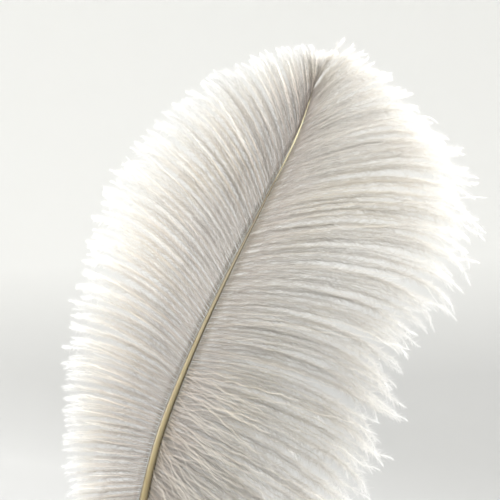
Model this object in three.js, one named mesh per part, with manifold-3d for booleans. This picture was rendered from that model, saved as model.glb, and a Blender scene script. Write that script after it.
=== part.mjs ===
import * as THREE from "three";
import { mergeVertices } from "three/addons/utils/BufferGeometryUtils.js";
import Module from "manifold-3d";

const wasm = await Module();
wasm.setup();

// A single ostrich plume standing on its cut quill: +Z runs up the shaft, +X is the wide
// vane's side, and the smooth back of the shaft faces -Y. All sizes are in millimetres.

const quillLength = 62;
const quillRadius = 2.4;
const quillEndRadius = 1.6;
const quillWall = 0.4;

const vaneHeight = 249;
const shaftSideSweep = 44;
const shaftBackSweep = 26;
const shaftTipRadius = 0.25;
const cortexWall = 0.35;
const pithLength = 112;

const capCount = 6;
const capPitch = 7.5;
const capThickness = 0.5;
const capRise = 1.4;
const capCoreRadius = 0.3;
const capStart = 8;

const leftReach = 70;
const rightReach = 108;

// How far a barb arches towards the viewer and then droops away, as shares of its length.
const archShare = 0.045;
const droopShare = 0.22;
const droopPower = 2.6;

const locksPerSide = 20;
const lockGap = 1;
const lockThickness = 2.2;
const lockRootThickness = 1.1;
const teethPerLock = 2;
const toothDepth = 3.5;
const staggerDepth = 2.4;

const tuftReach = 15;
const tuftDroop = 6;
const tuftHalfFan = THREE.MathUtils.degToRad(22);
const tuftRootWidth = 2;

const fitGap = 0.3;
const rootGap = 0.45;

// Where the last pair of locks stops, as a share of the barbed height.
const lastLockEnd = 0.972;

const keratin = new THREE.MeshStandardMaterial({ color: 0xb9a566, roughness: 0.38 });
const cortexKeratin = new THREE.MeshStandardMaterial({ color: 0xa8945a, roughness: 0.45 });
const driedPulp = new THREE.MeshStandardMaterial({ color: 0xd8cba6, roughness: 0.8 });
const pithFoam = new THREE.MeshStandardMaterial({ color: 0xefe9d8, roughness: 0.95 });
const whiteBarbs = new THREE.MeshStandardMaterial({ color: 0xeeebe2, roughness: 0.9 });
const creamDown = new THREE.MeshStandardMaterial({ color: 0xe4dfd3, roughness: 0.95 });

// The shaft's line and thickness. "up" is the share of the barbed height, "side" and "back"
// are shares of the two sweeps, and "girth" runs from 0 at the tip to 1 at the quill.
const shaftStations = [
  { up: 0, side: 0, back: 0, girth: 1 },
  { up: 0.1, side: 0, back: 0, girth: 0.95 },
  { up: 0.2, side: 0.01, back: 0.02, girth: 0.88 },
  { up: 0.3, side: 0.05, back: 0.05, girth: 0.76 },
  { up: 0.45, side: 0.21, back: 0.13, girth: 0.54 },
  { up: 0.6, side: 0.43, back: 0.28, girth: 0.32 },
  { up: 0.75, side: 0.68, back: 0.5, girth: 0.15 },
  { up: 0.9, side: 0.92, back: 0.78, girth: 0.06 },
  { up: 1, side: 1, back: 1, girth: 0 },
];

// The barbs on each side. "root" and "tip" are a barb's two angles from straight up, in
// degrees, and "reach" is its length as a share of the side's longest barb.
const leftStations = [
  { up: 0, root: 118, tip: 134, reach: 0.2 },
  { up: 0.1, root: 112, tip: 128, reach: 0.39 },
  { up: 0.2, root: 98, tip: 118, reach: 0.48 },
  { up: 0.3, root: 80, tip: 106, reach: 0.61 },
  { up: 0.45, root: 49, tip: 92, reach: 0.84 },
  { up: 0.6, root: 35, tip: 79, reach: 1 },
  { up: 0.75, root: 23, tip: 61, reach: 0.88 },
  { up: 0.9, root: 10, tip: 38, reach: 0.55 },
  { up: 1, root: -4, tip: 4, reach: 0.2 },
];

const rightStations = [
  { up: 0, root: 134, tip: 152, reach: 0.17 },
  { up: 0.1, root: 128, tip: 148, reach: 0.41 },
  { up: 0.2, root: 120, tip: 140, reach: 0.69 },
  { up: 0.3, root: 108, tip: 131, reach: 0.87 },
  { up: 0.45, root: 82, tip: 120, reach: 0.88 },
  { up: 0.55, root: 74, tip: 115, reach: 0.84 },
  { up: 0.65, root: 66, tip: 106, reach: 0.98 },
  { up: 0.75, root: 58, tip: 94, reach: 0.91 },
  { up: 0.9, root: 42, tip: 70, reach: 0.46 },
  { up: 1, root: 16, tip: 32, reach: 0.19 },
];

// A smooth function of "up" through one column of a station list.
function blend(stations, column) {
  const heights = stations.map((station) => station.up);
  const values = stations.map((station) => station[column]);
  const curve = new THREE.CubicInterpolant(heights, values, 1);
  return (up) => curve.evaluate(THREE.MathUtils.clamp(up, 0, 1))[0];
}

const shaftSide = blend(shaftStations, "side");
const shaftBack = blend(shaftStations, "back");
const shaftGirth = blend(shaftStations, "girth");

function upAt(height) {
  return (height - quillLength) / vaneHeight;
}

function shaftPoint(height) {
  const up = upAt(height);
  return new THREE.Vector3(shaftSideSweep * shaftSide(up), shaftBackSweep * shaftBack(up), height);
}

function shaftRadius(height) {
  return THREE.MathUtils.lerp(shaftTipRadius, quillRadius, shaftGirth(upAt(height)));
}

function shaftDirection(height) {
  const step = 0.5;
  return shaftPoint(height + step).sub(shaftPoint(height - step)).normalize();
}

// Moves every vertex of a geometry to the place that "place" gives for its x, y and z.
function reshape(geometry, place) {
  const position = geometry.getAttribute("position");
  const point = new THREE.Vector3();
  for (let i = 0; i < position.count; i += 1) {
    point.fromBufferAttribute(position, i);
    position.setXYZ(i, ...place(point.x, point.y, point.z));
  }
  geometry.computeVertexNormals();
  return geometry;
}

// A round section with a groove down its ventral (+Y) face, of unit radius.
function groovedSection() {
  const lipAngle = THREE.MathUtils.degToRad(68);
  const grooveFloor = 0.72;
  const section = new THREE.Shape();
  section.absarc(0, 0, 1, Math.PI - lipAngle, 2 * Math.PI + lipAngle, false);
  section.lineTo(0, grooveFloor);
  section.closePath();
  return section;
}

// A grooved rod that follows the shaft between two heights, thinner than it by "inset".
function shaftRod(fromHeight, toHeight, inset, steps) {
  const rod = new THREE.ExtrudeGeometry(groovedSection(), {
    depth: 1,
    steps,
    curveSegments: 6,
    bevelEnabled: false,
  });
  return reshape(rod, (x, y, share) => {
    const height = THREE.MathUtils.lerp(fromHeight, toHeight, share);
    const along = shaftDirection(height);
    const right = new THREE.Vector3(along.z, 0, -along.x).normalize();
    const back = along.clone().cross(right);
    const radius = shaftRadius(height) - inset;
    const place = shaftPoint(height);
    place.addScaledVector(right, x * radius);
    place.addScaledVector(back, y * radius);
    return place.toArray();
  });
}

function toSolid(geometry) {
  const bare = geometry.clone();
  bare.deleteAttribute("normal");
  bare.deleteAttribute("uv");
  const merged = mergeVertices(bare);
  return new wasm.Manifold(
    new wasm.Mesh({
      numProp: 3,
      vertProperties: merged.getAttribute("position").array,
      triVerts: new Uint32Array(merged.index.array),
    }),
  );
}

function toGeometry(solid) {
  const mesh = solid.getMesh();
  const geometry = new THREE.BufferGeometry();
  geometry.setAttribute("position", new THREE.BufferAttribute(mesh.vertProperties, 3));
  geometry.setIndex(new THREE.BufferAttribute(mesh.triVerts, 1));
  geometry.computeVertexNormals();
  return geometry;
}

// The quill's outer radius at a height: it swells quickly from the cut end, then runs even.
function quillOuter(height) {
  const swellHeight = 30;
  const share = THREE.MathUtils.clamp(height / swellHeight, 0, 1);
  return THREE.MathUtils.lerp(quillEndRadius, quillRadius, Math.sin((share * Math.PI) / 2));
}

// Horny tube of the quill, open at its cut lower end and where the shaft begins.
function makeCalamus() {
  const ringHeights = [0, 0.08, 0.17, 0.28, 0.42, 0.6, 1].map((share) => share * quillLength);
  const outside = ringHeights.map((height) => new THREE.Vector2(quillOuter(height), height));
  const inside = ringHeights.map(
    (height) => new THREE.Vector2(quillOuter(height) - quillWall, height),
  );
  const profile = [...outside, ...inside.reverse(), outside[0].clone()];
  const tube = new THREE.LatheGeometry(profile, 24);
  tube.rotateX(Math.PI / 2);
  return new THREE.Mesh(tube, keratin);
}

// The dried pulp inside the quill: thin cones stacked on a core, clear of the tube's wall.
function makePulpCaps() {
  const coreEnd = Math.min(capStart + capCount * capPitch, quillLength - capRise);
  const profile = [new THREE.Vector2(0, capStart - capRise)];
  for (let i = 0; i < capCount; i += 1) {
    const base = capStart + (i * (coreEnd - capStart)) / capCount;
    const rim = quillOuter(base) - quillWall - fitGap;
    profile.push(new THREE.Vector2(capCoreRadius, base));
    profile.push(new THREE.Vector2(rim, base + capRise));
    profile.push(new THREE.Vector2(rim, base + capRise + capThickness));
    profile.push(new THREE.Vector2(capCoreRadius, base + 2 * capThickness));
  }
  profile.push(new THREE.Vector2(capCoreRadius, coreEnd));
  profile.push(new THREE.Vector2(0, coreEnd));
  const caps = new THREE.LatheGeometry(profile, 16);
  caps.rotateX(Math.PI / 2);
  return new THREE.Mesh(caps, driedPulp);
}

const rachisStart = quillLength + fitGap;
const rachisEnd = quillLength + vaneHeight;
const pithEnd = rachisStart + pithLength;

// The shaft's hard outer shell, hollow from its lower end to just past the pith.
function makeRachisCortex() {
  const outside = toSolid(shaftRod(rachisStart, rachisEnd, 0, 34));
  const hollow = toSolid(shaftRod(rachisStart - 1, pithEnd + fitGap, cortexWall, 14));
  return new THREE.Mesh(toGeometry(outside.subtract(hollow)), cortexKeratin);
}

function makeRachisPith() {
  const pith = shaftRod(rachisStart, pithEnd, cortexWall + fitGap, 12);
  return new THREE.Mesh(pith, pithFoam);
}

// The direction and place along a barb that bends evenly from one angle to another:
// the chord to the point at "share" of its length.
function barbChord(root, tip, length, share) {
  const bend = ((tip - root) * share) / 2;
  const shrink = Math.abs(bend) < 1e-4 ? 1 : Math.sin(bend) / bend;
  const chord = length * share * shrink;
  return { out: chord * Math.sin(root + bend), rise: chord * Math.cos(root + bend) };
}

// The vane on one side of the shaft (-1 left, 1 right): gives a point from the height share
// of the barb's root, the share of the way along the barb and the depth through the vane.
function makeVane(side, stations, longest) {
  const rootAngle = blend(stations, "root");
  const tipAngle = blend(stations, "tip");
  const reach = blend(stations, "reach");
  return (up, share, depth, trim) => {
    const height = quillLength + vaneHeight * up;
    const start = shaftPoint(height);
    const clear = shaftRadius(height) + rootGap;
    const root = THREE.MathUtils.degToRad(rootAngle(up));
    const tip = THREE.MathUtils.degToRad(tipAngle(up));
    const length = Math.max(longest * reach(up) - trim, 1);
    const { out, rise } = barbChord(root, tip, length, share);
    const arch = archShare * longest * reach(up) * 4 * share * (1 - share);
    const droop = droopShare * longest * reach(up) * share ** droopPower;
    return [start.x + side * (clear + out), start.y - arch + droop + depth, start.z + rise];
  };
}

const leftVane = makeVane(-1, leftStations, leftReach);
const rightVane = makeVane(1, rightStations, rightReach);

function lockDepth(share) {
  const swellSpan = 0.9;
  const swell = Math.sin(Math.PI * swellSpan * share);
  return THREE.MathUtils.lerp(lockRootThickness, lockThickness, swell);
}

// One lock: the neighbouring barbs that cling together from their roots to pointed ends.
function makeLock(vane, side, fromUp, toUp, trim, material) {
  const lock = new THREE.BoxGeometry(1, 1, 1, 8, 2 * teethPerLock, 1);
  lock.translate(0.5, 0.5, 0);
  const place = (share, across, depth) => {
    const up = THREE.MathUtils.lerp(fromUp, toUp, across);
    const valley = Math.abs(Math.cos(Math.PI * teethPerLock * across));
    return vane(up, share, side * -depth * lockDepth(share), trim + toothDepth * valley);
  };
  return new THREE.Mesh(reshape(lock, place), material);
}

// The short downy barbs above the quill are the first pair of locks on each side.
function makeLocks(vane, side, sideName) {
  const locks = [];
  const pitch = lastLockEnd / locksPerSide;
  const halfGap = lockGap / vaneHeight / 2;
  for (let i = 0; i < locksPerSide; i += 1) {
    const fromUp = i * pitch + halfGap;
    const toUp = (i + 1) * pitch - halfGap;
    const isDown = i < 1;
    const trim = isDown ? 0 : (staggerDepth * ((i * 2) % 3)) / 2;
    const material = isDown ? creamDown : whiteBarbs;
    const lock = makeLock(vane, side, fromUp, toUp, trim, material);
    const number = String(i).padStart(2, "0");
    lock.name = isDown ? `down_tuft_${sideName}` : `barb_lock_${sideName}_${number}`;
    locks.push(lock);
  }
  return locks;
}

// The small fan of barbs that carries on past the end of the shaft.
function makeTipTuft() {
  const tuft = new THREE.BoxGeometry(1, 1, 1, 6, 2 * teethPerLock, 1);
  tuft.translate(0.5, 0, 0);
  const start = shaftPoint(rachisEnd);
  const along = shaftDirection(rachisEnd - 1);
  const lean = Math.atan2(along.x, along.z);
  const place = (share, across, depth) => {
    const valley = Math.abs(Math.cos(Math.PI * teethPerLock * (across + 0.5)));
    const reach = (tuftReach - toothDepth * valley) * share;
    const angle = lean - 2 * across * tuftHalfFan;
    const rootX = start.x - across * tuftRootWidth;
    const y = start.y + tuftDroop * share - depth * lockDepth(share);
    const rootZ = rachisEnd + fitGap;
    return [rootX + reach * Math.sin(angle), y, rootZ + reach * Math.cos(angle)];
  };
  const mesh = new THREE.Mesh(reshape(tuft, place), whiteBarbs);
  mesh.name = "barb_tuft_tip";
  return mesh;
}

function named(mesh, name) {
  mesh.name = name;
  return mesh;
}

const plume = new THREE.Group();
plume.name = "ostrich_plume";

const shaft = new THREE.Group();
shaft.add(named(makeCalamus(), "calamus"));
shaft.add(named(makePulpCaps(), "pulp_caps"));
shaft.add(named(makeRachisCortex(), "rachis_cortex"));
shaft.add(named(makeRachisPith(), "rachis_pith"));
plume.add(shaft);

const vanes = new THREE.Group();
vanes.add(...makeLocks(leftVane, -1, "left"));
vanes.add(...makeLocks(rightVane, 1, "right"));
vanes.add(makeTipTuft());
plume.add(vanes);

export default plume;
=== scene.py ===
import math

import bmesh
import bpy
import numpy as np
from mathutils import Matrix, Vector


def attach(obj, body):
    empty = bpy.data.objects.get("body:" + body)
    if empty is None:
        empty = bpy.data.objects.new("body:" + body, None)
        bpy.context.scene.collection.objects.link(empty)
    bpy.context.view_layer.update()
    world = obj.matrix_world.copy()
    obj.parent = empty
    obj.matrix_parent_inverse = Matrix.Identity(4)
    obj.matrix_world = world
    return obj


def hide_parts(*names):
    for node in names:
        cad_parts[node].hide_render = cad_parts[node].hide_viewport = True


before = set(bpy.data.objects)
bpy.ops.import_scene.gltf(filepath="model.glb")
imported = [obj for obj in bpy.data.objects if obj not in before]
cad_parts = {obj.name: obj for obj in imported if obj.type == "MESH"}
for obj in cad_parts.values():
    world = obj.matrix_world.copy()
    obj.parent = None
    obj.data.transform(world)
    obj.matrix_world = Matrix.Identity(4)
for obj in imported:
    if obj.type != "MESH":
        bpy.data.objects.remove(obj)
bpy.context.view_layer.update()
print("stage: frame loaded")


# the plume's line, the same as the frame's, in metres
plume = {
    "quillLength": 0.062,
    "quillRadius": 0.0024,
    "quillEndRadius": 0.0016,
    "quillSwell": 0.030,
    "quillWall": 0.0004,
    "joinGap": 0.0003,
    "vaneHeight": 0.249,
    "sideSweep": 0.044,
    "backSweep": 0.026,
    "tipRadius": 0.00025,
}

# up: share of the barbed height; side, back: shares of the sweeps; girth: 1 quill, 0 tip
shaftStations = [
    {"up": 0.00, "side": 0.00, "back": 0.00, "girth": 1.00},
    {"up": 0.10, "side": 0.00, "back": 0.00, "girth": 0.95},
    {"up": 0.20, "side": 0.01, "back": 0.02, "girth": 0.88},
    {"up": 0.30, "side": 0.05, "back": 0.05, "girth": 0.76},
    {"up": 0.45, "side": 0.21, "back": 0.13, "girth": 0.54},
    {"up": 0.60, "side": 0.43, "back": 0.28, "girth": 0.32},
    {"up": 0.75, "side": 0.68, "back": 0.50, "girth": 0.15},
    {"up": 0.90, "side": 0.92, "back": 0.78, "girth": 0.06},
    {"up": 1.00, "side": 1.00, "back": 1.00, "girth": 0.00},
]

# root, tip: a barb's angles from straight up, in degrees; reach: its length in metres
leftStations = [
    {"up": 0.00, "root": 118, "tip": 134, "reach": 0.014},
    {"up": 0.10, "root": 112, "tip": 128, "reach": 0.027},
    {"up": 0.20, "root": 98, "tip": 118, "reach": 0.0335},
    {"up": 0.30, "root": 80, "tip": 106, "reach": 0.0425},
    {"up": 0.45, "root": 49, "tip": 92, "reach": 0.0585},
    {"up": 0.60, "root": 35, "tip": 79, "reach": 0.070},
    {"up": 0.75, "root": 23, "tip": 61, "reach": 0.062},
    {"up": 0.90, "root": 10, "tip": 38, "reach": 0.0385},
    {"up": 1.00, "root": -4, "tip": 4, "reach": 0.014},
]

rightStations = [
    {"up": 0.00, "root": 134, "tip": 152, "reach": 0.018},
    {"up": 0.10, "root": 128, "tip": 148, "reach": 0.044},
    {"up": 0.20, "root": 120, "tip": 140, "reach": 0.075},
    {"up": 0.30, "root": 108, "tip": 131, "reach": 0.094},
    {"up": 0.45, "root": 82, "tip": 120, "reach": 0.095},
    {"up": 0.55, "root": 74, "tip": 115, "reach": 0.091},
    {"up": 0.65, "root": 66, "tip": 106, "reach": 0.106},
    {"up": 0.75, "root": 58, "tip": 94, "reach": 0.098},
    {"up": 0.90, "root": 42, "tip": 70, "reach": 0.050},
    {"up": 1.00, "root": 16, "tip": 32, "reach": 0.020},
]


def smoothColumn(stations, column):
    ups = np.array([row["up"] for row in stations])
    values = np.array([float(row[column]) for row in stations])
    slopes = np.gradient(values, ups)

    def at(up):
        up = np.clip(np.asarray(up, dtype=float), 0, 1)
        index = np.clip(np.searchsorted(ups, up) - 1, 0, len(ups) - 2)
        span = ups[index + 1] - ups[index]
        t = (up - ups[index]) / span
        start = (1 + 2 * t) * (1 - t) ** 2 * values[index]
        end = t * t * (3 - 2 * t) * values[index + 1]
        bend = t * (1 - t) ** 2 * slopes[index] - t * t * (1 - t) * slopes[index + 1]
        return start + end + bend * span

    return at


shaftSide = smoothColumn(shaftStations, "side")
shaftBack = smoothColumn(shaftStations, "back")
shaftGirth = smoothColumn(shaftStations, "girth")


def shaftPoints(up):
    up = np.asarray(up, dtype=float)
    x = plume["sideSweep"] * shaftSide(up)
    y = plume["backSweep"] * shaftBack(up)
    z = plume["quillLength"] + plume["vaneHeight"] * up
    return np.stack([x, y, z], axis=-1)


def shaftRadius(up):
    return plume["tipRadius"] + (plume["quillRadius"] - plume["tipRadius"]) * shaftGirth(up)


def smoothStep(low, high, value):
    t = np.clip((value - low) / (high - low), 0, 1)
    return t * t * (3 - 2 * t)


def unit(vectors):
    return vectors / np.linalg.norm(vectors, axis=-1, keepdims=True)


def linearColour(hexText):
    channels = [int(hexText[i:i + 2], 16) / 255 for i in (1, 3, 5)]
    linear = [c / 12.92 if c <= 0.04045 else ((c + 0.055) / 1.055) ** 2.4 for c in channels]
    return (*linear, 1.0)


# One node with its settings; an input is a plain value or a socket to link from.
def addNode(tree, kind, settings=None, inputs=None):
    node = tree.nodes.new(kind)
    for name, value in (settings or {}).items():
        setattr(node, name, value)
    for name, value in (inputs or {}).items():
        socket = node.inputs[name]
        if isinstance(value, bpy.types.NodeSocket):
            tree.links.new(value, socket)
        else:
            socket.default_value = value
    return node


def setStops(ramp, stops):
    elements = ramp.color_ramp.elements
    while len(elements) < len(stops):
        elements.new(0.5)
    for element, (position, colour) in zip(elements, stops):
        element.position = position
        element.color = linearColour(colour)


def newMaterial(name):
    material = bpy.data.materials.new(name)
    material.use_nodes = True
    material.node_tree.nodes.clear()
    return material, material.node_tree


# A colour mix node's sockets are read by number: 0 is the amount, 6 and 7 are the two colours.
multiplyColours = {"data_type": "RGBA", "blend_type": "MULTIPLY"}
mixColours = {"data_type": "RGBA", "blend_type": "MIX"}
multiplyValues = {"operation": "MULTIPLY"}

barbLook = {
    "stainSize": 0.030,
    "stainLow": 0.45,
    "stainHigh": 0.68,
    "stainMost": 0.3,
    "stainFadeStart": 0.55,
    "stainFadeEnd": 0.8,
    "stain": "#f1ead6",
    "shade": "#8a7f79",
    "mottleSize": 0.004,
    "mottleDark": 0.93,
    "mottlePale": 1.04,
    "roughness": 0.72,
    "sheen": 0.25,
    "sheenRoughness": 0.4,
    "through": 0.45,
}

# stops: the barb's colour from root to tip, darkened near the root by painted shadow and in the thick of
# the vane by painted shade; shadeStops: how much painted shade darkens its barbules there
leftBarbLook = barbLook | {
    "stops": [(0.0, "#6f6244"), (0.025, "#a39985"), (0.07, "#dcd3ca"), (0.35, "#e8e2da"),
              (0.55, "#efe9e0"), (0.76, "#f6f3ec"), (0.88, "#fcfbf8"), (1.0, "#fefefd")],
    "shadeStops": [(0.0, "#ffffff"), (0.25, "#ffffff"), (0.75, "#808080"), (0.95, "#000000")],
}

# The right vane's barbs are painted darker than the left's, as painted shade over that whole side.
rightBarbLook = barbLook | {
    "stops": [(0.0, "#8b8060"), (0.02, "#b2a99c"), (0.08, "#bab2aa"), (0.3, "#c2bdb5"),
              (0.5, "#ccc8c1"), (0.72, "#dcd8d1"), (0.86, "#f2f0eb"), (0.95, "#fcfbf9"),
              (1.0, "#fefefd")],
    "shadeStops": [(0.0, "#505050"), (0.15, "#202020"), (0.35, "#303030"), (0.6, "#707070"),
                   (0.9, "#000000")],
}


# Bleached barbs: horn-coloured where they leave the shaft, darkened there by painted shadow, cream-grey
# in the thick of the vane, partly their own colour and partly painted shade, and clean white at the
# fraying ends, with light passing through them.
def bleachedBarbMaterial(name, look):
    material, tree = newMaterial(name)
    along = addNode(tree, "ShaderNodeAttribute", {"attribute_name": "along"}).outputs["Fac"]
    toneAndPaintedLight = addNode(tree, "ShaderNodeAttribute", {"attribute_name": "toneAndPaintedLight"}).outputs["Fac"]
    barbuleShadeMask = addNode(tree, "ShaderNodeAttribute", {"attribute_name": "barbuleShadeMask"}).outputs["Fac"]
    place = addNode(tree, "ShaderNodeTexCoord").outputs["Object"]
    bleached = addNode(tree, "ShaderNodeValToRGB", None, {"Fac": along})
    setStops(bleached, look["stops"])
    stain = addNode(tree, "ShaderNodeTexNoise", None, {
        "Vector": place, "Scale": 1 / look["stainSize"], "Detail": 2.0})
    patch = addNode(tree, "ShaderNodeMapRange", None, {
        "Value": stain.outputs["Fac"], "From Min": look["stainLow"], "From Max": look["stainHigh"],
        "To Min": 0.0, "To Max": look["stainMost"]})
    within = addNode(tree, "ShaderNodeMapRange", None, {
        "Value": along, "From Min": look["stainFadeStart"], "From Max": look["stainFadeEnd"],
        "To Min": 1.0, "To Max": 0.0})
    cream = addNode(tree, "ShaderNodeMath", multiplyValues, {
        0: patch.outputs["Result"], 1: within.outputs["Result"]})
    stained = addNode(tree, "ShaderNodeMix", multiplyColours, {
        0: cream.outputs[0], 6: bleached.outputs["Color"], 7: linearColour(look["stain"])})
    inner = addNode(tree, "ShaderNodeValToRGB", None, {"Fac": along})
    setStops(inner, look["shadeStops"])
    # Painted shade: barbules darken towards the shade colour, by amounts that change along the barb,
    # standing in for the shadow the barbs cast on one another.
    shadeAmount = addNode(tree, "ShaderNodeMath", multiplyValues, {0: barbuleShadeMask, 1: inner.outputs["Color"]})
    shaded = addNode(tree, "ShaderNodeMix", multiplyColours, {
        0: shadeAmount.outputs[0], 6: stained.outputs[2], 7: linearColour(look["shade"])})
    mottle = addNode(tree, "ShaderNodeTexNoise", None, {
        "Vector": place, "Scale": 1 / look["mottleSize"], "Detail": 3.0})
    fine = addNode(tree, "ShaderNodeMapRange", None, {
        "Value": mottle.outputs["Fac"], "From Min": 0.3, "From Max": 0.7,
        "To Min": look["mottleDark"], "To Max": look["mottlePale"]})
    # Painted light and shade: each barb's level, lighter for loose front barbs and changing with height on
    # the vane, times fine mottling.
    level = addNode(tree, "ShaderNodeMath", multiplyValues, {0: toneAndPaintedLight, 1: fine.outputs["Result"]}).outputs[0]
    grey = addNode(tree, "ShaderNodeCombineColor", None, {"Red": level, "Green": level, "Blue": level})
    tonedAndLit = addNode(tree, "ShaderNodeMix", multiplyColours, {
        0: 1.0, 6: shaded.outputs[2], 7: grey.outputs[0]})
    surface = addNode(tree, "ShaderNodeBsdfPrincipled", None, {
        "Base Color": tonedAndLit.outputs[2], "Roughness": look["roughness"],
        "Sheen Weight": look["sheen"], "Sheen Roughness": look["sheenRoughness"]})
    glow = addNode(tree, "ShaderNodeBsdfTranslucent", None, {"Color": tonedAndLit.outputs[2]})
    both = addNode(tree, "ShaderNodeMixShader", None, {
        0: look["through"], 1: surface.outputs[0], 2: glow.outputs[0]})
    addNode(tree, "ShaderNodeOutputMaterial", None, {"Surface": both.outputs[0]})
    return material


leftBarb = bleachedBarbMaterial("bleached_barb_left", leftBarbLook)
rightBarb = bleachedBarbMaterial("bleached_barb_right", rightBarbLook)

hornLook = {
    "fibreSize": 0.0009,
    "fibreStretch": 0.06,
    "fibre": "#c0ab7c",
    "fibreMost": 0.4,
    "brown": "#4a3e27",
    "brownStart": 0.45,
    "brownEnd": 0.7,
    "brownMost": 0.7,
    "pale": "#c2b995",
    "paleStart": 0.79,
    "paleEnd": 0.88,
    "paleMost": 0.85,
    "bumpHeight": 0.0001,
    "roughness": 0.36,
    "coat": 0.25,
}

# stops: the colour round the shaft, from its back at 0 by its right edge, its face at 0.5 and its
# left edge to its back again; dark at the back and right edge as painted shade, lightest just left of
# the face as a painted highlight, and darker again along the left edge as painted shade
shaftHornLook = hornLook | {
    "through": 0.0,
    "stops": [(0.0, "#2f2716"), (0.25, "#1e180c"), (0.36, "#2c2413"), (0.43, "#544a2c"),
              (0.5, "#716544"), (0.58, "#857a5b"), (0.65, "#685e45"), (0.73, "#3f3622"),
              (1.0, "#2f2716")],
}

quillHornLook = hornLook | {
    "through": 0.2,
    "stops": [(0.0, "#a89b74"), (0.5, "#b7aa84"), (1.0, "#a89b74")],
}


# Horny keratin: olive gold, with a painted highlight on the lit side of the shaft and painted shade
# along its edges, browner and then paler towards the tip, with fine fibres running lengthwise.
def hornMaterial(name, look):
    material, tree = newMaterial(name)
    around = addNode(tree, "ShaderNodeAttribute", {"attribute_name": "around"}).outputs["Fac"]
    along = addNode(tree, "ShaderNodeAttribute", {"attribute_name": "along"}).outputs["Fac"]
    place = addNode(tree, "ShaderNodeTexCoord").outputs["Object"]
    stretched = addNode(tree, "ShaderNodeMapping", None, {
        "Vector": place, "Scale": (1, 1, look["fibreStretch"])})
    fibre = addNode(tree, "ShaderNodeTexNoise", None, {
        "Vector": stretched.outputs[0], "Scale": 1 / look["fibreSize"], "Detail": 4.0}).outputs["Fac"]
    horn = addNode(tree, "ShaderNodeValToRGB", None, {"Fac": around})
    setStops(horn, look["stops"])
    streak = addNode(tree, "ShaderNodeMapRange", None, {
        "Value": fibre, "From Min": 0.35, "From Max": 0.7, "To Min": 0.0, "To Max": look["fibreMost"]})
    streaked = addNode(tree, "ShaderNodeMix", multiplyColours, {
        0: streak.outputs["Result"], 6: horn.outputs["Color"], 7: linearColour(look["fibre"])})
    brown = addNode(tree, "ShaderNodeMapRange", None, {
        "Value": along, "From Min": look["brownStart"], "From Max": look["brownEnd"],
        "To Min": 0.0, "To Max": look["brownMost"]})
    browned = addNode(tree, "ShaderNodeMix", mixColours, {
        0: brown.outputs["Result"], 6: streaked.outputs[2], 7: linearColour(look["brown"])})
    pale = addNode(tree, "ShaderNodeMapRange", None, {
        "Value": along, "From Min": look["paleStart"], "From Max": look["paleEnd"],
        "To Min": 0.0, "To Max": look["paleMost"]})
    colour = addNode(tree, "ShaderNodeMix", mixColours, {
        0: pale.outputs["Result"], 6: browned.outputs[2], 7: linearColour(look["pale"])}).outputs[2]
    height = addNode(tree, "ShaderNodeBump", None, {
        "Height": fibre, "Strength": 0.25, "Distance": look["bumpHeight"]})
    surface = addNode(tree, "ShaderNodeBsdfPrincipled", None, {
        "Base Color": colour, "Roughness": look["roughness"],
        "Coat Weight": look["coat"], "Coat Roughness": 0.3,
        "Subsurface Weight": 0.05, "Subsurface Scale": 0.001,
        "Normal": height.outputs[0]})
    glow = addNode(tree, "ShaderNodeBsdfTranslucent", None, {"Color": colour})
    both = addNode(tree, "ShaderNodeMixShader", None, {
        0: look["through"], 1: surface.outputs[0], 2: glow.outputs[0]})
    addNode(tree, "ShaderNodeOutputMaterial", None, {"Surface": both.outputs[0]})
    return material


shaftHorn = hornMaterial("olive_shaft_keratin", shaftHornLook)
quillHorn = hornMaterial("straw_quill_keratin", quillHornLook)

pulpLook = {"colour": "#dccfa8", "pit": "#a89a78", "pitSize": 0.0008, "pitHeight": 0.0002}
pithLook = {"colour": "#efe9d8", "pit": "#a89a78", "pitSize": 0.0005, "pitHeight": 0.0002}


# Dry pulp and pith: chalky, pale and finely pitted.
def chalkyMaterial(name, look):
    material, tree = newMaterial(name)
    place = addNode(tree, "ShaderNodeTexCoord").outputs["Object"]
    pits = addNode(tree, "ShaderNodeTexNoise", None, {
        "Vector": place, "Scale": 1 / look["pitSize"], "Detail": 4.0}).outputs["Fac"]
    shade = addNode(tree, "ShaderNodeMapRange", None, {
        "Value": pits, "From Min": 0.3, "From Max": 0.7, "To Min": 0.0, "To Max": 0.35})
    colour = addNode(tree, "ShaderNodeMix", mixColours, {
        0: shade.outputs["Result"], 6: linearColour(look["colour"]), 7: linearColour(look["pit"])})
    height = addNode(tree, "ShaderNodeBump", None, {
        "Height": pits, "Strength": 0.3, "Distance": look["pitHeight"]})
    surface = addNode(tree, "ShaderNodeBsdfPrincipled", None, {
        "Base Color": colour.outputs[2], "Roughness": 0.9, "Normal": height.outputs[0]})
    addNode(tree, "ShaderNodeOutputMaterial", None, {"Surface": surface.outputs[0]})
    return material


def dressFrameNode(nodeName, material):
    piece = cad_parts[nodeName]
    piece.data.materials.clear()
    piece.data.materials.append(material)


dressFrameNode("pulp_caps", chalkyMaterial("dried_pulp", pulpLook))
dressFrameNode("rachis_pith", chalkyMaterial("dry_pith", pithLook))
print("stage: materials")


def meshPoints(mesh):
    flat = np.empty(len(mesh.vertices) * 3)
    mesh.vertices.foreach_get("co", flat)
    return flat.reshape(-1, 3)


def setPoints(mesh, points):
    mesh.vertices.foreach_set("co", np.ascontiguousarray(points, dtype=np.float32).ravel())
    mesh.update()


def setAttribute(mesh, name, values):
    attribute = mesh.attributes.new(name, "FLOAT", "POINT")
    attribute.data.foreach_set("value", np.ascontiguousarray(values, dtype=np.float32))


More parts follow.
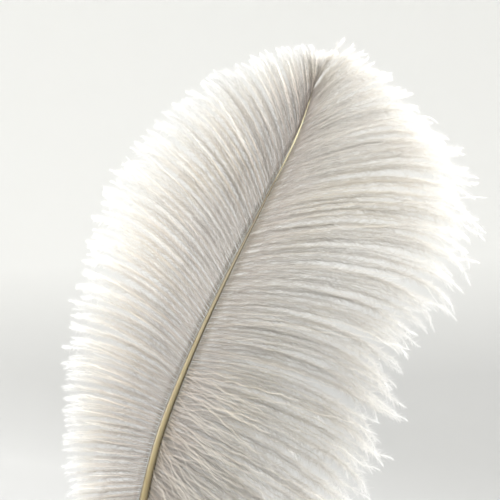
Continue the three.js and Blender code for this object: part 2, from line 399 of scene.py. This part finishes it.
def setBakeMap(mesh, across, upward):
    loops = np.empty(len(mesh.loops), dtype=np.int32)
    mesh.loops.foreach_get("vertex_index", loops)
    layer = mesh.uv_layers.new(name="OFBake")
    pairs = np.stack([across[loops], upward[loops]], axis=1)
    layer.data.foreach_set("uv", np.ascontiguousarray(pairs, dtype=np.float32).ravel())


def addPiece(name, mesh, material, slotName, *nodeNames):
    mesh.materials.append(material)
    mesh.polygons.foreach_set("use_smooth", np.ones(len(mesh.polygons), dtype=bool))
    piece = bpy.data.objects.new(name, mesh)
    bpy.context.scene.collection.objects.link(piece)
    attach(piece, "root")
    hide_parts(*nodeNames)
    return piece


# A unit rod along +X with "rings" cuts across it and "sides" flats round it.
def straightRod(rings, sides):
    shape = bmesh.new()
    turn = Matrix.Translation((0.5, 0, 0)) @ Matrix.Rotation(math.pi / 2, 4, "Y")
    bmesh.ops.create_cone(shape, cap_ends=True, segments=sides, radius1=1, radius2=1, depth=1,
                          matrix=turn)
    longEdges = [edge for edge in shape.edges
                 if abs(edge.verts[0].co.x - edge.verts[1].co.x) > 0.5]
    bmesh.ops.subdivide_edges(shape, edges=longEdges, cuts=rings)
    return shape


shaftShape = {
    "rings": 260,
    "sides": 28,
    "grooveDepth": 0.3,
    "grooveWidth": 0.38,
    "flat": 0.06,
    "tipRound": 0.004,
    "tipLeast": 0.02,
    "lookAhead": 0.002,
}


def makeShaft(size):
    shape = straightRod(size["rings"], size["sides"])
    mesh = bpy.data.meshes.new("shaft_shell")
    shape.to_mesh(mesh)
    shape.free()
    rod = meshPoints(mesh)
    share = np.clip(rod[:, 0], 0, 1)
    angle = np.arctan2(rod[:, 1], rod[:, 2])
    up = share + (1 - share) * plume["joinGap"] / plume["vaneHeight"]
    centre = shaftPoints(up)
    above = np.minimum(up + size["lookAhead"], 1)
    below = np.maximum(up - size["lookAhead"], 0)
    along = unit(shaftPoints(above) - shaftPoints(below))
    right = unit(np.stack([along[:, 2], 0 * along[:, 2], -along[:, 0]], axis=1))
    back = np.cross(along, right)
    groove = size["grooveDepth"] * np.exp(-((angle / size["grooveWidth"]) ** 2))
    square = 1 - size["flat"] * np.cos(angle * 2) ** 2
    tipRound = np.sqrt(np.clip((1 - share) / size["tipRound"], size["tipLeast"], 1))
    radius = shaftRadius(up) * (1 - groove) * square * tipRound
    spread = right * (np.sin(angle) * radius)[:, None] + back * (np.cos(angle) * radius)[:, None]
    setPoints(mesh, centre + spread)
    around = (angle / (2 * math.pi)) % 1
    setAttribute(mesh, "around", around)
    setAttribute(mesh, "along", up)
    return addPiece("shaft_shell", mesh, shaftHorn, "shaft", "rachis_cortex")


makeShaft(shaftShape)


quillShape = {"steps": 24, "turns": 40, "rimRound": 0.00012}


def quillOuter(height):
    share = min(max(height / plume["quillSwell"], 0), 1)
    swell = math.sin(share * math.pi / 2)
    return plume["quillEndRadius"] + (plume["quillRadius"] - plume["quillEndRadius"]) * swell


# The tube's wall is turned round its axis: out along the outside, over the rim, back inside.
def makeQuill(size):
    shape = bmesh.new()
    rim = size["rimRound"]
    heights = [plume["quillLength"] * i / size["steps"] for i in range(size["steps"] + 1)]
    heights[0] = rim
    outside = [(quillOuter(z), z) for z in heights]
    inside = [(quillOuter(z) - plume["quillWall"], z) for z in reversed(heights)]
    cutEnd = [(quillOuter(0) - plume["quillWall"] + rim, 0), (quillOuter(0) - rim, 0)]
    profile = [shape.verts.new((r, 0, z)) for r, z in outside + inside + cutEnd]
    edges = [shape.edges.new((profile[i - 1], profile[i])) for i in range(len(profile))]
    bmesh.ops.spin(shape, geom=profile + edges, cent=(0, 0, 0), axis=(0, 0, 1),
                   angle=2 * math.pi, steps=size["turns"], use_merge=True)
    bmesh.ops.recalc_face_normals(shape, faces=shape.faces)
    mesh = bpy.data.meshes.new("quill_tube")
    shape.to_mesh(mesh)
    shape.free()
    points = meshPoints(mesh)
    angle = np.arctan2(points[:, 0], points[:, 1])
    setAttribute(mesh, "around", (angle / (2 * math.pi)) % 1)
    setAttribute(mesh, "along", 0 * angle)
    return addPiece("quill_tube", mesh, quillHorn, "quill", "calamus")


makeQuill(quillShape)
print("stage: shaft and quill")


# one straight barb with its barbules, made in a few lengths and bent into every barb later
strandShape = {
    "lengths": [0.012, 0.020, 0.031, 0.046, 0.066, 0.090],
    "copies": 2,
    "perMetre": 7600,
    "rootRadius": 0.00017,
    "tipRadius": 0.00005,
    "coreCuts": 40,
    "bareRoot": 0.0004,
    "barbuleRadius": 0.000050,
    "barbuleLength": 0.0036,
    "barbuleLeast": 0.0008,
    "lengthSpread": 0.35,
    "slantLow": 14,
    "slantHigh": 40,
    "slantFree": 40,
    "liftSpread": 16,
    "liftFree": 45,
    "liftBack": 30,
    "endTaper": 0.006,
    "endShare": 0.4,
    "barbuleShade": 0.5,
    "fillCount": 64,
    "fillSpan": 0.0028,
    "fillLift": 40,
    "fillLiftSpread": 20,
    "fillSlantLow": 40,
    "fillSlantHigh": 95,
    "fillShort": 0.0009,
    "fillLong": 0.002,
}


# A barbule is a thin three-sided cone, slanted off its barb and turned round it.
def addBarbule(shape, start, slant, lift, reach, size):
    turn = Matrix.Rotation(math.radians(lift), 4, "X") @ Matrix.Rotation(math.radians(slant), 4, "Z")
    aim = Matrix.Rotation(math.pi / 2, 4, "Y") @ Matrix.Translation((0, 0, reach / 2))
    bmesh.ops.create_cone(shape, cap_ends=True, segments=3, radius1=size["barbuleRadius"],
                          radius2=0, depth=reach, matrix=Matrix.Translation((start, 0, 0)) @ turn @ aim)


def makeStrandCore(length, size):
    shape = straightRod(size["coreCuts"], 3)
    for vert in shape.verts:
        radius = size["rootRadius"] + (size["tipRadius"] - size["rootRadius"]) * vert.co.x
        vert.co = Vector((vert.co.x * length, vert.co.y * radius, vert.co.z * radius))
    return shape


# Barbules leave the barb on both sides in turn, flatter at its root and in all directions at its end.
def addVaneBarbules(shape, length, size, chance):
    count = int(length * size["perMetre"])
    for i in range(count):
        start = size["bareRoot"] + (length - size["bareRoot"]) * (i + chance.random()) / count
        free = start / length
        taper = min(1, size["endShare"] + (1 - size["endShare"]) * (length - start) / size["endTaper"])
        reach = size["barbuleLength"] * taper * (1 + size["lengthSpread"] * chance.normal())
        slant = chance.uniform(size["slantLow"], size["slantHigh"] + size["slantFree"] * free)
        lift = chance.normal() * (size["liftSpread"] + size["liftFree"] * free ** 2)
        behind = size["liftBack"] * (1 - free ** 3) * (1 if i % 2 else -1)
        lift = lift + behind + 180 * (i % 2)
        addBarbule(shape, start, slant, lift, max(reach, size["barbuleLeast"]), size)


# Short fuzz at the root hides the bare stalks beside the shaft.
def addRootFuzz(shape, size, chance):
    for i in range(size["fillCount"]):
        start = size["fillSpan"] * (i + chance.random()) / size["fillCount"]
        lift = chance.normal() * size["fillLiftSpread"]
        lift = lift + (size["fillLift"] if i % 2 else -size["fillLift"]) + 180 * (i % 2)
        slant = chance.uniform(size["fillSlantLow"], size["fillSlantHigh"])
        reach = chance.uniform(size["fillShort"], size["fillLong"])
        addBarbule(shape, start, slant, lift, reach, size)


def makeStrand(length, size, seed):
    chance = np.random.default_rng(seed)
    shape = makeStrandCore(length, size)
    coreCount = len(shape.verts)
    addVaneBarbules(shape, length, size, chance)
    addRootFuzz(shape, size, chance)
    mesh = bpy.data.meshes.new("strand")
    shape.to_mesh(mesh)
    shape.free()
    points = meshPoints(mesh)
    # How much painted shade each point takes: little on the barb itself, more out along its barbules.
    barbuleShadeMask = np.minimum(np.hypot(points[:, 1], points[:, 2]) / size["barbuleLength"], 1)
    barbuleShadeMask[coreCount:] += size["barbuleShade"]
    return {"mesh": mesh, "points": points, "barbuleShadeMask": barbuleShadeMask, "length": length}


strands = []
for lengthIndex, strandLength in enumerate(strandShape["lengths"]):
    for copyIndex in range(strandShape["copies"]):
        strands.append(makeStrand(strandLength, strandShape, 100 * lengthIndex + copyIndex))
print("stage: strands", sum(len(strand["points"]) for strand in strands))


def pickStrand(length, chance):
    misfit = [abs(math.log(strand["length"] / length)) for strand in strands]
    nearest = min(misfit)
    fits = [strand for strand, miss in zip(strands, misfit) if miss < nearest + 1e-6]
    return fits[chance.integers(len(fits))]


vaneShape = {
    "locks": 20,
    "lastUp": 0.972,
    "pathSteps": 64,
    "archShare": 0.045,
    "droopShare": 0.22,
    "droopPower": 2.6,
    "crinkleLength": 0.011,
    "crinkleShort": 0.8,
    "crinkleLong": 1.25,
    "waveLength": 0.035,
    "curlLow": -0.8,
    "curlHigh": 1.6,
    "curlFrom": 0.72,
    "shortestBarb": 0.006,
    "rootDepth": 0.65,
    "frontShort": 0.7,
    "frontLong": 1.15,
    "frontSweep": 0.7,
    "frontRootDepth": 0.5,
    "plainTone": 0.97,
    "fullestAt": 0.35,
    "fluffLowFrom": 0.3,
    "fluffLowTo": 0.5,
    "paintedLightLowFrom": 0.45,
    "paintedLightLowTo": 0.65,
    "paintedLightHighFrom": 0.55,
    "paintedLightHighTo": 0.8,
    "pullFrom": 0.02,
    "pullFull": 0.3,
    "pullFreeFrom": 0.55,
    "pullFreeShare": 0.6,
    "layerFull": 0.3,
    "mapMargin": 0.01,
    "mapRow": 0.2,
}

# Angles are in degrees. clumpSize barbs cling together by the share pull; fronts are loose barbs that
# lie before the others, in front by depth, from the low to the high share of the barbed height, and are
# painted lighter than the barbs behind them, as painted light.
leftVane = {
    "side": -1,
    "seed": 1000,
    "stations": leftStations,
    "barbsPerLock": 14,
    "clumpSize": 3,
    "pull": 0.5,
    "spread": 1.6,
    "wave": 2.0,
    "crinkle": 5.0,
    "stray": 2.0,
    "tipCurl": 16,
    "layer": 0.0008,
    "fluffRoot": 0.5,
    "fluffMiddle": 0.85,
    "fluffTip": 0.85,
    "toneSpread": 0.06,
    "reachSpread": 0.03,
    "paintedLightLow": 0.03,
    "paintedLightHigh": -0.11,
    "fluffLow": 0,
    "fronts": [
        {"low": 0.12, "high": 0.97, "perLock": 6, "reach": 0.85, "turn": 1, "turnSpread": 3,
         "crinkle": 5, "fluff": 0.17, "depth": 0.0020, "toneAndPaintedLight": 1.3},
    ],
}

rightVane = {
    "side": 1,
    "seed": 2000,
    "stations": rightStations,
    "barbsPerLock": 14,
    "clumpSize": 3,
    "pull": 0.12,
    "spread": 1.4,
    "wave": 4.0,
    "crinkle": 8.0,
    "stray": 3.2,
    "tipCurl": 30,
    "layer": 0.0007,
    "fluffRoot": 0.75,
    "fluffMiddle": 1.15,
    "fluffTip": 0.8,
    "toneSpread": 0.035,
    "reachSpread": 0.05,
    "paintedLightLow": 0.0,
    "paintedLightHigh": 0.16,
    "fluffLow": 0.35,
    "fronts": [
        {"low": 0.05, "high": 0.42, "perLock": 12, "reach": 0.6, "turn": 14, "turnSpread": 15,
         "crinkle": 16, "fluff": 0.24, "depth": 0.0030, "toneAndPaintedLight": 1.4},
        {"low": 0.05, "high": 0.36, "perLock": 7, "reach": 1.0, "turn": -2, "turnSpread": 7,
         "crinkle": 12, "fluff": 0.5, "depth": 0.0012, "toneAndPaintedLight": 1.22},
        {"low": 0.40, "high": 0.97, "perLock": 5, "reach": 0.9, "turn": 1, "turnSpread": 4,
         "crinkle": 10, "fluff": 0.22, "depth": 0.0014, "toneAndPaintedLight": 1.26},
    ],
}


def barbPath(vane, columns, up, chance, lean, wavePhase, front=None):
    steps = np.linspace(0, 1, vaneShape["pathSteps"])
    reach = float(columns["reach"](up)) * (1 + vane["reachSpread"] * chance.normal())
    root = float(columns["root"](up))
    tip = float(columns["tip"](up))
    crinkle = vane["crinkle"]
    if front:
        reach = reach * front["reach"] * chance.uniform(vaneShape["frontShort"], vaneShape["frontLong"])
        root = root + front["turn"] + front["turnSpread"] * chance.normal()
        tip = root + (tip - root) * vaneShape["frontSweep"]
        crinkle = front["crinkle"]
    reach = max(reach, vaneShape["shortestBarb"])
    waveTurns = steps * reach / vaneShape["waveLength"] + wavePhase
    wave = vane["wave"] * np.sin(2 * math.pi * waveTurns) * steps
    stretch = chance.uniform(vaneShape["crinkleShort"], vaneShape["crinkleLong"])
    crinkleTurns = steps * reach / vaneShape["crinkleLength"] * stretch
    wave = wave + crinkle * np.sin(2 * math.pi * (crinkleTurns + chance.random()))
    lean = lean + vane["stray"] * chance.normal()
    curl = vane["tipCurl"] * chance.uniform(vaneShape["curlLow"], vaneShape["curlHigh"])
    curl = curl * smoothStep(vaneShape["curlFrom"], 1, steps) ** 2
    angle = np.radians(root + (tip - root) * steps + wave + curl + lean * steps)
    step = reach / (len(steps) - 1)
    out = np.concatenate([[0], np.cumsum(np.sin(angle[1:]) * step)])
    rise = np.concatenate([[0], np.cumsum(np.cos(angle[1:]) * step)])
    arch = vaneShape["archShare"] * reach * 4 * steps * (1 - steps)
    depth = vaneShape["droopShare"] * reach * steps ** vaneShape["droopPower"] - arch
    start = shaftPoints(up)
    edge = float(shaftRadius(up)) * vaneShape["rootDepth"]
    x = start[0] + vane["side"] * (edge + out)
    ahead = 0
    if front:
        ahead = front["depth"] * (vaneShape["frontRootDepth"] + np.sin(math.pi * steps))
    y = start[1] + depth - ahead
    z = start[2] + rise
    return np.stack([x, y, z], axis=1), reach


def bendStrand(points, strandLength, path, fluff):
    share = points[:, 0] / strandLength
    steps = np.linspace(0, 1, len(path))
    along = unit(np.gradient(path, axis=0))
    front = np.array([0.0, -1.0, 0.0])
    normal = unit(front - along * (along @ front)[:, None])
    side = np.cross(normal, along)
    beyond = np.maximum(share - 1, 0)[:, None] * strandLength
    inside = np.clip(share, 0, 1)

    def read(rows):
        return np.stack([np.interp(inside, steps, rows[:, i]) for i in range(3)], axis=1)

    width = np.interp(inside, steps, fluff)
    centre = read(path) + read(along) * beyond
    spread = read(side) * (points[:, 1] * width)[:, None]
    lift = read(normal) * (points[:, 2] * width)[:, None]
    return centre + spread + lift


# How far the barbules of a lock stand out along its barbs, and how light its barbs are painted, as
# painted light and shade. Both change from the low to the high part of a vane.
def lockFluff(vane, middle, steps):
    sizes = [vane["fluffRoot"], vane["fluffMiddle"], vane["fluffTip"]]
    low = 1 - smoothStep(vaneShape["fluffLowFrom"], vaneShape["fluffLowTo"], middle)
    return np.interp(steps, [0, vaneShape["fullestAt"], 1], sizes) * (1 + vane["fluffLow"] * low)


def lockPaintedLight(vane, middle):
    low = 1 - smoothStep(vaneShape["paintedLightLowFrom"], vaneShape["paintedLightLowTo"], middle)
    high = smoothStep(vaneShape["paintedLightHighFrom"], vaneShape["paintedLightHighTo"], middle)
    return vaneShape["plainTone"] + vane["paintedLightLow"] * low + vane["paintedLightHigh"] * high


def addVaneBarbs(barbs, vane, columns, fromUp, toUp, chance):
    count = vane["barbsPerLock"]
    middle = (fromUp + toUp) / 2
    steps = np.linspace(0, 1, vaneShape["pathSteps"])
    lean = 0
    wavePhase = 0
    for i in range(count):
        if i % vane["clumpSize"] == 0:
            lean = vane["spread"] * chance.normal()
            wavePhase = chance.random()
        up = fromUp + (toUp - fromUp) * (i + 0.5) / count
        path, reach = barbPath(vane, columns, up, chance, lean, wavePhase)
        barbs.append({"path": path, "reach": reach, "clump": i // vane["clumpSize"],
                      "fluff": lockFluff(vane, middle, steps), "toneAndPaintedLight": lockPaintedLight(vane, middle)})


def addFrontBarbs(barbs, vane, columns, fromUp, toUp, chance):
    middle = (fromUp + toUp) / 2
    for front in vane["fronts"]:
        share = front["perLock"] if front["low"] <= middle <= front["high"] else 0
        for i in range(share):
            up = fromUp + (toUp - fromUp) * (i + chance.random()) / share
            path, reach = barbPath(vane, columns, up, chance, 0, chance.random(), front)
            barbs.append({"path": path, "reach": reach, "clump": len(barbs),
                          "fluff": np.full(len(path), front["fluff"]), "toneAndPaintedLight": front["toneAndPaintedLight"]})


def pullClumps(barbs, vane):
    steps = np.linspace(0, 1, vaneShape["pathSteps"])
    free = vaneShape["pullFreeShare"] * smoothStep(vaneShape["pullFreeFrom"], 1, steps)
    pull = vane["pull"] * smoothStep(vaneShape["pullFrom"], vaneShape["pullFull"], steps) * (1 - free)
    paths = np.array([barb["path"] for barb in barbs])
    clumps = np.array([barb["clump"] for barb in barbs])
    for clump in set(clumps.tolist()):
        members = clumps == clump
        centre = paths[members].mean(axis=0)
        shift = (centre - paths[members]) * pull[None, :, None]
        paths[members] = paths[members] + shift
    for barb, path in zip(barbs, paths):
        barb["path"] = path


def makeLockPiece(name, nodeName, vane, columns, fromUp, toUp, material, slotName, seed):
    chance = np.random.default_rng(seed)
    steps = np.linspace(0, 1, vaneShape["pathSteps"])
    barbs = []
    addVaneBarbs(barbs, vane, columns, fromUp, toUp, chance)
    addFrontBarbs(barbs, vane, columns, fromUp, toUp, chance)
    pullClumps(barbs, vane)
    shape = bmesh.new()
    pointSets = []
    alongSets = []
    toneSets = []
    barbuleShadeMaskSets = []
    rowSets = []
    for i, barb in enumerate(barbs):
        strand = pickStrand(barb["reach"], chance)
        layer = vane["layer"] * chance.normal() * smoothStep(0, vaneShape["layerFull"], steps)
        path = barb["path"] + np.stack([0 * layer, layer, 0 * layer], axis=1)
        shape.from_mesh(strand["mesh"])
        pointSets.append(bendStrand(strand["points"], strand["length"], path, barb["fluff"]))
        share = np.clip(strand["points"][:, 0] / strand["length"], 0, 1)
        alongSets.append(share)
        barbuleShadeMaskSets.append(strand["barbuleShadeMask"])
        # Each barb's painted light and shade, with a little random spread of its own tone.
        toneAndPaintedLight = barb["toneAndPaintedLight"] + vane["toneSpread"] * chance.normal()
        toneSets.append(np.full(len(share), toneAndPaintedLight))
        corner = np.arange(len(share)) % 3  # spreads a barbule's corners over the bake map
        rowSets.append((i + vaneShape["mapRow"] * (1 + corner)) / len(barbs))
    mesh = bpy.data.meshes.new(name)
    shape.to_mesh(mesh)
    shape.free()
    setPoints(mesh, np.concatenate(pointSets))
    along = np.concatenate(alongSets)
    setAttribute(mesh, "along", along)
    setAttribute(mesh, "toneAndPaintedLight", np.concatenate(toneSets))
    setAttribute(mesh, "barbuleShadeMask", np.concatenate(barbuleShadeMaskSets))
    margin = vaneShape["mapMargin"]
    setBakeMap(mesh, margin + (1 - 2 * margin) * along, np.concatenate(rowSets))
    return addPiece(name, mesh, material, slotName, nodeName)


def makeVane(vane, sideName, material):
    columns = {name: smoothColumn(vane["stations"], name) for name in ("root", "tip", "reach")}
    pitch = vaneShape["lastUp"] / vaneShape["locks"]
    total = 0
    for i in range(vaneShape["locks"]):
        isDown = i == 0
        nodeName = f"down_tuft_{sideName}" if isDown else f"barb_lock_{sideName}_{i:02d}"
        name = f"down_{sideName}" if isDown else f"barbs_{sideName}_{i:02d}"
        slotName = "down" if isDown else "barbs"
        piece = makeLockPiece(name, nodeName, vane, columns, i * pitch, (i + 1) * pitch,
                              material, slotName, vane["seed"] + i)
        total += len(piece.data.polygons)
    print("stage: vane", sideName, total)


makeVane(leftVane, "left", leftBarb)
makeVane(rightVane, "right", rightBarb)

tipShape = {
    "side": 1,
    "seed": 3000,
    "fromUp": 0.975,
    "barbsPerLock": 14,
    "clumpSize": 4,
    "pull": 0.3,
    "spread": 4.0,
    "wave": 2.0,
    "crinkle": 5.0,
    "stray": 3.0,
    "tipCurl": 6,
    "layer": 0.001,
    "fluffRoot": 0.5,
    "fluffMiddle": 0.9,
    "fluffTip": 1.0,
    "toneSpread": 0.04,
    "reachSpread": 0.06,
    "paintedLightLow": 0,
    "paintedLightHigh": 0.14,
    "fluffLow": 0,
    "fronts": [
        {"low": 0.9, "high": 1.0, "perLock": 5, "reach": 1.2, "turn": 0, "turnSpread": 14,
         "crinkle": 6, "fluff": 0.8, "depth": 0.001, "toneAndPaintedLight": 1.2},
    ],
}


# The last barbs fan over the shaft's end from one side to the other.
def makeTipPiece(size):
    fan = [
        {"up": 0.00, "root": -14, "tip": -20, "reach": 0.015},
        {"up": 0.50, "root": 8, "tip": 8, "reach": 0.016},
        {"up": 1.00, "root": 26, "tip": 36, "reach": 0.015},
    ]
    byShare = {name: smoothColumn(fan, name) for name in ("root", "tip", "reach")}

    def onShaft(read):
        return lambda up: read((up - size["fromUp"]) / (1 - size["fromUp"]))

    columns = {name: onShaft(read) for name, read in byShare.items()}
    return makeLockPiece("barbs_tip", "barb_tuft_tip", size, columns, size["fromUp"], 1.0,
                         rightBarb, "barbs", size["seed"])


makeTipPiece(tipShape)
print("stage: tip")


studio = {
    "bowlRadius": 3.0,
    "cornerRadius": 1.4,
    "wallHeight": 3.2,
    "floorDrop": 0.001,
    "bendSteps": 14,
    "turnSteps": 72,
    "mergeGap": 0.00001,
    "paperRise": 0.2,
    "shadowLean": 0.2,
    "floorShadePaper": "#d6d6d5",
    "nearShadePaper": "#a9a9a8",
    "nearShadeInner": 0.3,
    "nearShadeOuter": 0.8,
    "wallPaper": "#f9f9f7",
}


# Matt paper with painted shade: grey near the plume to dim the pool of lamp light there, darker on the
# floor than on the wall and darker towards the right as a painted soft shadow, lighter on the floor further
# out and nearly white on the wall.
def paperMaterial(name, look):
    material, tree = newMaterial(name)
    place = addNode(tree, "ShaderNodeTexCoord").outputs["Object"]
    split = addNode(tree, "ShaderNodeSeparateXYZ", None, {"Vector": place})
    # Painted soft shadow: the paper darkens towards the right and down onto the floor.
    lean = addNode(tree, "ShaderNodeMath", {"operation": "MULTIPLY_ADD"}, {
        0: split.outputs["X"], 1: -look["shadowLean"], 2: split.outputs["Z"]})
    rise = addNode(tree, "ShaderNodeMapRange", None, {
        "Value": lean.outputs[0], "From Min": 0.0, "From Max": look["paperRise"],
        "To Min": 0.0, "To Max": 1.0})
    sweep = addNode(tree, "ShaderNodeValToRGB", None, {"Fac": rise.outputs["Result"]})
    setStops(sweep, [(0.0, look["floorShadePaper"]), (1.0, look["wallPaper"])])
    flat = addNode(tree, "ShaderNodeCombineXYZ", None, {"X": split.outputs["X"], "Y": split.outputs["Y"]})
    away = addNode(tree, "ShaderNodeVectorMath", {"operation": "LENGTH"}, {0: flat.outputs[0]})
    # Painted shade near the plume, dimming the floor where the lamps' light pools.
    near = addNode(tree, "ShaderNodeMapRange", None, {
        "Value": away.outputs["Value"], "From Min": look["nearShadeInner"], "From Max": look["nearShadeOuter"],
        "To Min": 1.0, "To Max": 0.0})
    paper = addNode(tree, "ShaderNodeMix", mixColours, {
        0: near.outputs["Result"], 6: sweep.outputs["Color"], 7: linearColour(look["nearShadePaper"])})
    surface = addNode(tree, "ShaderNodeBsdfPrincipled", None, {
        "Base Color": paper.outputs[2], "Roughness": 0.95})
    addNode(tree, "ShaderNodeOutputMaterial", None, {"Surface": surface.outputs[0]})
    return material


# A round paper sweep: a flat floor that curves up into a wall, with no edge to see.
def makeBowl(size):
    shape = bmesh.new()
    bend = [(size["bowlRadius"] - size["cornerRadius"] * (1 - math.sin(a)),
             size["cornerRadius"] * (1 - math.cos(a)))
            for a in np.linspace(0, math.pi / 2, size["bendSteps"])]
    line = [(0.0, 0.0)] + bend + [(size["bowlRadius"], size["wallHeight"])]
    verts = [shape.verts.new((r, 0, z - size["floorDrop"])) for r, z in line]
    edges = [shape.edges.new((verts[i], verts[i + 1])) for i in range(len(verts) - 1)]
    bmesh.ops.spin(shape, geom=verts + edges, cent=(0, 0, 0), axis=(0, 0, 1),
                   angle=2 * math.pi, steps=size["turnSteps"], use_merge=True)
    bmesh.ops.remove_doubles(shape, verts=shape.verts, dist=size["mergeGap"])
    mesh = bpy.data.meshes.new("studio_bowl")
    shape.to_mesh(mesh)
    shape.free()
    mesh.polygons.foreach_set("use_smooth", np.ones(len(mesh.polygons), dtype=bool))
    mesh.materials.append(paperMaterial("studio_paper", size))
    bowl = bpy.data.objects.new("studio_bowl", mesh)
    bpy.context.scene.collection.objects.link(bowl)


makeBowl(studio)


lighting = {
    "target": (0.02, 0.01, 0.22),
    "beam": 60,
    "air": "#fffffe",
    "airStrength": 1.08,
    "lamps": [
        {"name": "key_left_front", "place": (-0.7, -0.9, 0.9), "width": 0.6, "power": 1.4},
        {"name": "front_fill", "place": (0.3, -1.2, 0.6), "width": 0.8, "power": 1.9},
        {"name": "side_left", "place": (-1.0, -0.1, 0.4), "width": 0.5, "power": 2.2},
        {"name": "side_right", "place": (1.1, -0.1, 0.35), "width": 0.5, "power": 1.0},
        {"name": "top", "place": (0.1, -0.1, 1.3), "width": 0.5, "power": 1.1},
        {"name": "upper_right", "place": (0.8, -0.6, 1.0), "width": 0.5, "power": 1.5},
        {"name": "back_top", "place": (0.1, 0.9, 0.9), "width": 0.6, "power": 0.6},
    ],
}


def addLamp(size, target, beam):
    data = bpy.data.lights.new(size["name"], "AREA")
    data.shape = "SQUARE"
    data.size = size["width"]
    data.energy = size["power"]
    data.spread = math.radians(beam)
    lamp = bpy.data.objects.new(size["name"], data)
    bpy.context.scene.collection.objects.link(lamp)
    lamp.visible_camera = False
    lamp.location = size["place"]
    aim = Vector(target) - Vector(size["place"])
    lamp.rotation_euler = aim.to_track_quat("-Z", "Y").to_euler()


for lampSize in lighting["lamps"]:
    addLamp(lampSize, lighting["target"], lighting["beam"])

world = bpy.data.worlds.new("studio_air")
world.use_nodes = True
background = world.node_tree.nodes["Background"]
background.inputs["Color"].default_value = linearColour(lighting["air"])
background.inputs["Strength"].default_value = lighting["airStrength"]
bpy.context.scene.world = world
bpy.context.scene.view_settings.view_transform = "Standard"

cameraView = {
    "target": (0.0276, 0.010, 0.2271),
    "distance": 0.75,
    "fieldWidth": 0.225,
    "roll": 10,
    "sensorWidth": 36,
}


def makeCamera(size):
    data = bpy.data.cameras.new("camera")
    data.sensor_width = size["sensorWidth"]
    data.lens = size["sensorWidth"] * size["distance"] / size["fieldWidth"]
    data.clip_start = 0.01
    camera = bpy.data.objects.new("camera", data)
    bpy.context.scene.collection.objects.link(camera)
    roll = math.radians(size["roll"])
    right = Vector((math.cos(roll), 0, math.sin(roll)))
    upward = Vector((-math.sin(roll), 0, math.cos(roll)))
    back = right.cross(upward)
    turn = Matrix((right, upward, back)).transposed().to_4x4()
    place = Vector(size["target"]) + back * size["distance"]
    camera.matrix_world = Matrix.Translation(place) @ turn
    bpy.context.scene.camera = camera


makeCamera(cameraView)
print("stage: studio")
